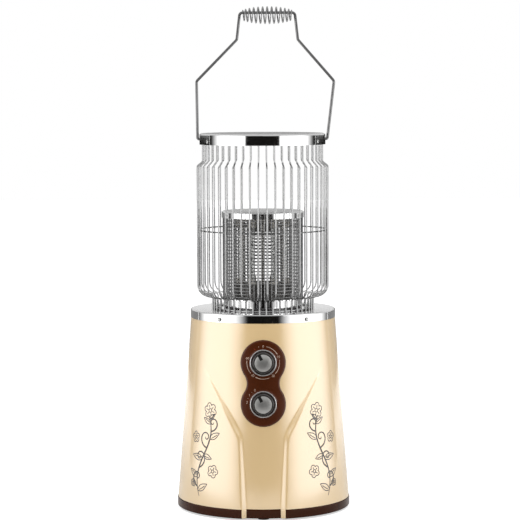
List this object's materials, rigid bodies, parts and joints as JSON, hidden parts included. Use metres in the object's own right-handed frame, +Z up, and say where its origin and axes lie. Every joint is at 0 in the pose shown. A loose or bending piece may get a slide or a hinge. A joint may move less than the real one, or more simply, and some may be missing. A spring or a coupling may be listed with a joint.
{
  "type": "radiant heater",
  "caption": "Free-standing all-round radiant heater: conical base with timer and power knobs, quartz tubes in a mesh guard, wire cage and swinging bail with a coil grip.",
  "frame": {"origin": "on the floor under the middle of the base", "axes": "+Z up along the heater's axis, -Y out of the control panel, +X to the right seen from the front"},
  "size_m": [0.3136, 0.3177, 0.9079],
  "materials": {
    "brown_gloss": "dark brown high gloss",
    "cream_gloss": "cream high gloss lacquer",
    "chrome": "bright chrome plate",
    "screw_steel": "plain steel",
    "zinc_plate": "zinc plated sheet",
    "black_plastic": "black satin plastic",
    "satin_disc": "satin brushed disc",
    "grey_plastic": "grey moulded plastic",
    "lead_rubber": "silicone insulation",
    "dark_steel": "dark heat-proof paint",
    "ceramic": "white ceramic",
    "core_metal": "resistance alloy",
    "quartz": "clear quartz",
    "foot_rubber": "black rubber"
  },
  "bodies": {
    "heater": {"base_ring": "brown_gloss", "body_shell": "cream_gloss", "control_panel": "brown_gloss", "bottom_plate": "zinc_plate", "foot_screws": "screw_steel", "timer_bezel": "chrome", "power_bezel": "chrome", "timer_case": "grey_plastic", "power_case": "grey_plastic", "timer_nut": "screw_steel", "power_nut": "screw_steel", "cord_gland": "black_plastic", "terminal_block": "grey_plastic", "tilt_bracket": "zinc_plate", "lead_wires": "lead_rubber", "top_plate": "chrome", "collar_screws": "screw_steel", "heat_shield": "zinc_plate", "guard_pedestal": "chrome", "lower_holder": "dark_steel", "centre_rod": "screw_steel", "hub": "dark_steel", "upper_holder": "ceramic", "tube_caps": "ceramic", "heater_cores": "core_metal", "guard_wires": "chrome", "guard_hoops": "chrome", "guard_band": "chrome", "guard_cap": "chrome", "guard_rivets": "screw_steel", "cage_wires": "chrome", "cage_hoop": "chrome", "cage_foot_ring": "chrome", "cage_band": "chrome", "cage_clips": "chrome", "clip_screws": "screw_steel", "cage_cap": "chrome", "cap_rivets": "screw_steel", "foot_1": "foot_rubber", "foot_2": "foot_rubber", "foot_3": "foot_rubber", "foot_4": "foot_rubber", "foot_5": "foot_rubber", "foot_6": "foot_rubber", "quartz_tube_1": "quartz", "quartz_tube_2": "quartz", "quartz_tube_3": "quartz", "quartz_tube_4": "quartz", "quartz_tube_5": "quartz", "quartz_tube_6": "quartz"},
    "bail": {"handle": "chrome"},
    "grip": {"grip_spring": "chrome"},
    "timer_dial": {"timer_knob": "black_plastic", "timer_knob_face": "satin_disc", "timer_shaft": "screw_steel"},
    "power_dial": {"power_knob": "black_plastic", "power_knob_face": "satin_disc", "power_shaft": "screw_steel"},
    "tip_pendulum": {"tilt_weight": "screw_steel"}
  },
  "joints": [
    {"name": "handle_swing", "type": "hinge", "parent": "heater", "child": "bail", "pos_m": [0, 0, 0.6691], "axis": [1, 0, 0], "range_deg": [-138, 138]},
    {"name": "grip_spin", "type": "hinge", "parent": "bail", "child": "grip", "pos_m": [0.0093, 0, 0.8961], "axis": [1, 0, 0], "continuous": true},
    {"name": "timer_turn", "type": "hinge", "parent": "heater", "child": "timer_dial", "pos_m": [0, -0.13596, 0.27845], "axis": [0, 0.9971, -0.0765], "range_deg": [0, 314]},
    {"name": "power_turn", "type": "hinge", "parent": "heater", "child": "power_dial", "pos_m": [0, -0.14156, 0.2055], "axis": [0, 0.9971, -0.0765], "range_deg": [-54, 0]},
    {"name": "tilt_swing", "type": "hinge", "parent": "heater", "child": "tip_pendulum", "pos_m": [-0.062, 0.014, 0.053], "axis": [1, 0, 0], "range_deg": [-20, 20]}
  ]
}
